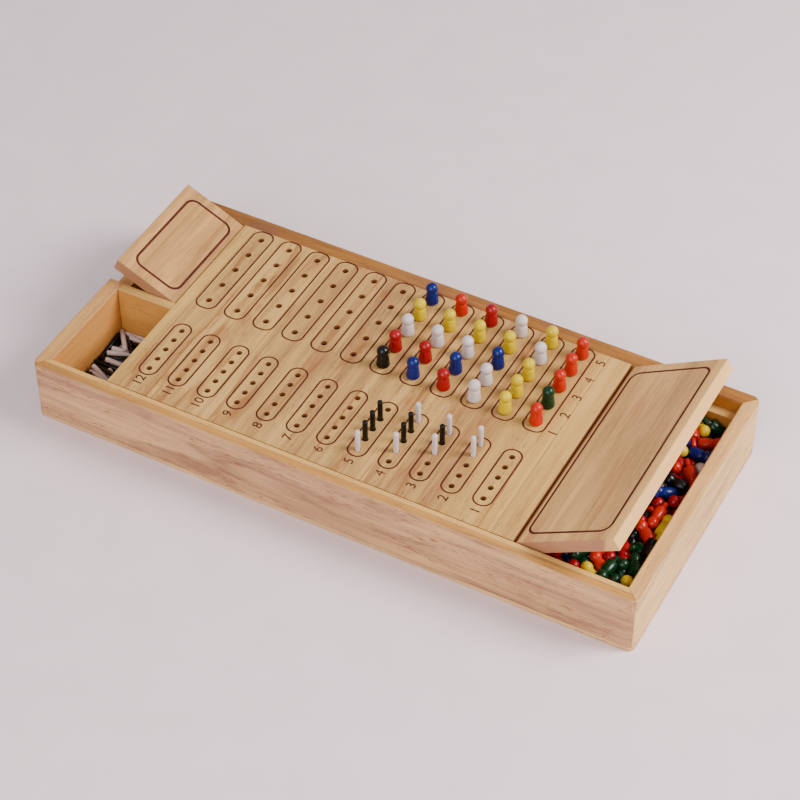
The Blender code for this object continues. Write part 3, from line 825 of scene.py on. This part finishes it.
def add_board():
    """The pegboard with round, slightly countersunk holes."""
    maker = Maker("drilled_board", {
        "Size": "Vector", "Middle": "Vector", "Rows": "Int", "Holes": "Int", "Pitch": "Float",
        "Code Pitch": "Float", "Score Pitch": "Float", "First Code": "Vector",
        "First Score": "Vector", "Code Drill": "Object", "Score Drill": "Object",
        "Material": "Material"})
    block = maker.add("GeometryNodeMeshCube", None, {"Size": maker.given("Size")})
    slab = maker.add("GeometryNodeTransform", None,
                     {"Geometry": maker.out(block), "Translation": maker.given("Middle")})
    row_step = maker.vector(maker.given("Pitch") * -1.0, 0.0, 0.0)
    drills = []
    for kind, sign in (("Code", 1.0), ("Score", -1.0)):
        hole_step = maker.vector(0.0, maker.given(kind + " Pitch") * sign, 0.0)
        rows = maker.add("GeometryNodeMeshLine", None, {
            "Count": maker.given("Rows"), "Start Location": maker.given("First " + kind),
            "Offset": row_step})
        holes = maker.add("GeometryNodeMeshLine", None,
                          {"Count": maker.given("Holes"), "Offset": hole_step})
        grid = maker.add("GeometryNodeInstanceOnPoints", None,
                         {"Points": maker.out(rows), "Instance": maker.out(holes)})
        points = maker.add("GeometryNodeRealizeInstances", None, {"Geometry": maker.out(grid)})
        drill = maker.add("GeometryNodeObjectInfo", None, {"Object": maker.given(kind + " Drill")})
        copies = maker.add("GeometryNodeInstanceOnPoints", None, {
            "Points": maker.out(points), "Instance": maker.out(drill, "Geometry")})
        solid = maker.add("GeometryNodeRealizeInstances", None, {"Geometry": maker.out(copies)})
        drills.append(maker.out(solid))
    drilled = maker.add("GeometryNodeMeshBoolean", {"operation": "DIFFERENCE", "solver": "EXACT"},
                        {"Mesh 1": maker.out(slab), "Mesh 2": drills})
    maker.close(maker.out(drilled, "Mesh"))

    depth = board_top - board_low.z - HOLE_FLOOR
    tools = {}
    for kind, radius in (("code_drill", CODE_HOLE_RADIUS), ("score_drill", SCORE_HOLE_RADIUS)):
        rings = [(radius, -depth), (radius, -COUNTERSINK), (radius + COUNTERSINK * 2, COUNTERSINK)]
        tools[kind] = add_piece(kind, turned(rings, HOLE_SIDES), None)
    board = maker.make(
        "drilled_pegboard", size=board_high - board_low, middle=(board_high + board_low) / 2,
        rows=ROWS, holes=HOLES, pitch=row_pitch, code_pitch=code_pitch, score_pitch=score_pitch,
        first_code=(first_pawn.x, first_pawn.y, board_top),
        first_score=(first_pawn.x, first_pin.y, board_top),
        material=wood_materials["pegboard"], **tools)
    for tool in tools.values():
        bpy.data.objects.remove(tool, do_unlink=True)
    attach(board, "box")
    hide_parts("pegboard")


def settled(count, beads, low, high, fall_from, seed):
    """Lets rigid pieces, each a row of beads (distance along its axis, radius), sink into a heap.

    They fall from a height into the bay between the corners low and high and push each other aside
    until none of them overlap more than a little; returns each one's middle and axis.
    """
    rng = np.random.default_rng(seed)
    along = np.array([b[0] for b in beads])
    radius = np.array([b[1] for b in beads])
    low = np.array(low) + HEAP_CLEARANCE
    high = np.array(high) - np.array((HEAP_CLEARANCE, HEAP_CLEARANCE, 0.0))
    middle = low + rng.random((count, 3)) * (np.array((high[0], high[1], fall_from)) - low)
    axis = rng.normal(size=(count, 3)) * np.array(AXIS_SPREAD)
    axis /= np.linalg.norm(axis, axis=1, keepdims=True)
    reach = 2 * (np.abs(along).max() + radius.max())
    spread = (along ** 2).sum()
    rest = radius[:, None] + radius[None, :]
    for step in range(HEAP_STEPS):
        if step % NEIGHBOURS_EVERY == 0:
            gap = np.linalg.norm(middle[:, None, :] - middle[None, :, :], axis=2)
            first, second = np.nonzero(np.triu(gap < reach, 1))
        calm = step > HEAP_STEPS * CALM_AFTER
        middle[:, 2] -= FALL * (CREEP if calm else 1.0)
        for _ in range(ROUNDS):
            bead = middle[:, None, :] + along[None, :, None] * axis[:, None, :]
            push = np.zeros_like(bead)
            away = bead[first][:, :, None, :] - bead[second][:, None, :, :]
            distance = np.linalg.norm(away, axis=3) + 1e-9
            depth = np.maximum(rest[None] - distance, 0.0)
            shove = away * (depth / distance * 0.5)[..., None]
            np.add.at(push, first, shove.sum(axis=2))
            np.add.at(push, second, -shove.sum(axis=1))
            below = np.maximum(low + radius[:, None] - bead, 0.0)
            above = np.minimum(high - radius[:, None] - bead, 0.0)
            push = push * PUSH_SHARE + (below + above)
            middle += push.sum(axis=1) / len(along) * MOVE_SHARE
            axis += (push * along[None, :, None]).sum(axis=1) / spread
            axis /= np.linalg.norm(axis, axis=1, keepdims=True)
    return [(tuple(m), tuple(a)) for m, a in zip(middle, axis)]


def scatter_maker():
    """Copies of one piece on points, each along the point's own direction."""
    maker = Maker("loose_pieces", {"Piece": "Object", "Material": "Material"})
    lie = maker.add("GeometryNodeInputNamedAttribute", {"data_type": "FLOAT_VECTOR"},
                    {"Name": "lie"})
    turn = maker.add("FunctionNodeAlignRotationToVector", {"axis": "Z"}, {"Vector": maker.out(lie)})
    source = maker.add("GeometryNodeObjectInfo", None, {"Object": maker.given("Piece")})
    copies = maker.add("GeometryNodeInstanceOnPoints", None, {
        "Points": maker.given("Geometry"), "Instance": maker.out(source, "Geometry"),
        "Rotation": maker.out(turn)})
    maker.close(maker.out(copies))
    return maker


def add_loose_pieces():
    """The spare pawns heaped in the storage bay and the spare pins in the pin bay."""
    maker = scatter_maker()
    rng = random.Random(COLOUR_SEED)
    base_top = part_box("base_panel")[1][2]
    near_y, ledge_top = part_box("near_ledge")[1][1:]
    far_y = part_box("far_ledge")[0][1]
    wall_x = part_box("storage_wall")[1][0]

    places = settled(
        SPARE_PAWNS, PAWN_BEADS, (wall_x, near_y, base_top),
        (wall_x + STORAGE_BAY_LENGTH, far_y, ledge_top - HEAP_CLEARANCE),
        PAWNS_FALL_FROM, PAWN_HEAP_SEED)
    profile = pawn_profile(LOOSE_PAWN_LOW, LOOSE_PAWN_HIGH,
                           LOOSE_PAWN_BODY, LOOSE_HEAD_ARC, LOOSE_HEAD_STEPS)
    profile = [(radius, height - LOOSE_PAWN_MIDDLE) for radius, height in profile]
    pawn = add_piece("loose_pawn", turned(profile, LOOSE_PAWN_SIDES), None, SMOOTH_ANGLE)
    colours = [colour for colour, share in COLOUR_SHARES.items() for _ in range(share)]
    chosen = {colour: [] for colour in COLOUR_SHARES}
    for place in places:
        chosen[rng.choice(colours)].append(place)
    for colour, points in chosen.items():
        heap = maker.make("spare_pawns_" + colour, points, piece=pawn,
                          material=lacquer_materials[colour])
        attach(heap, "box")
    bpy.data.objects.remove(pawn, do_unlink=True)

    bay_low, bay_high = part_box("bay_partition")
    places = settled(
        SPARE_PINS, PIN_BEADS, (bay_low[0], near_y, base_top),
        (bay_high[0], bay_low[1], PIN_HEAP_TOP), PINS_FALL_FROM, PIN_HEAP_SEED)
    pin = add_piece("loose_pin", turned(LOOSE_PIN, LOOSE_PIN_SIDES), None, SMOOTH_ANGLE)
    for colour, points in (("white", places[::2]), ("black", places[1::2])):
        heap = maker.make("spare_pins_" + colour, points, piece=pin,
                          material=lacquer_materials[colour])
        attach(heap, "box")
    bpy.data.objects.remove(pin, do_unlink=True)


def add_floor():
    """A plain pale table."""
    shape = bmesh.new()
    bmesh.ops.create_grid(shape, x_segments=1, y_segments=1, size=TABLE_HALF_WIDTH)
    paint = Paint("pale_table", {"Roughness": 0.7})
    x, y, z = paint.place()
    mottle = paint.noise(paint.vector(x, y, z), scale=30.0, detail=4.0)
    floor_material = paint.finish(paint.ramp(mottle, [(0.3, TABLE_DARK), (0.7, TABLE_LIGHT)]))
    drop = Matrix.Translation((0.0, 0.0, -TABLE_DROP))
    add_piece("table", shape, floor_material, place=drop)


def aimed(place, aim):
    """Where a lamp or the camera stands and how it is turned, as one matrix."""
    direction = Vector(aim) - Vector(place)
    return Matrix.Translation(place) @ direction.to_track_quat("-Z", "Y").to_matrix().to_4x4()


def add_light(name, place, size, power):
    """A round white area lamp that shines on the middle of the table."""
    lamp = bpy.data.lights.new(name, "AREA")
    lamp.shape = "DISK"
    lamp.size = size
    lamp.energy = power
    holder = bpy.data.objects.new(name, lamp)
    bpy.context.scene.collection.objects.link(holder)
    holder.matrix_world = aimed(place, (0.0, 0.0, 0.0))


def add_studio():
    """A soft key beyond the storage end, a broad fill from the scoring side, and the camera."""
    for name, light in LIGHTS.items():
        add_light(name, **light)
    world = bpy.data.worlds.new("studio")
    world.use_nodes = True
    world.node_tree.nodes["Background"].inputs["Color"].default_value = SURROUND
    world.node_tree.nodes["Background"].inputs["Strength"].default_value = SURROUND_STRENGTH
    bpy.context.scene.world = world

    camera = bpy.data.cameras.new("camera")
    camera.sensor_width = SENSOR_WIDTH
    camera.lens = CAMERA_LENS
    holder = bpy.data.objects.new("camera", camera)
    bpy.context.scene.collection.objects.link(holder)
    holder.matrix_world = aimed(CAMERA_PLACE, CAMERA_AIM)
    bpy.context.scene.camera = holder


dress_frame()
add_board()
add_standing_pieces()
add_outlines()
add_digits()
add_loose_pieces()
add_floor()
add_studio()
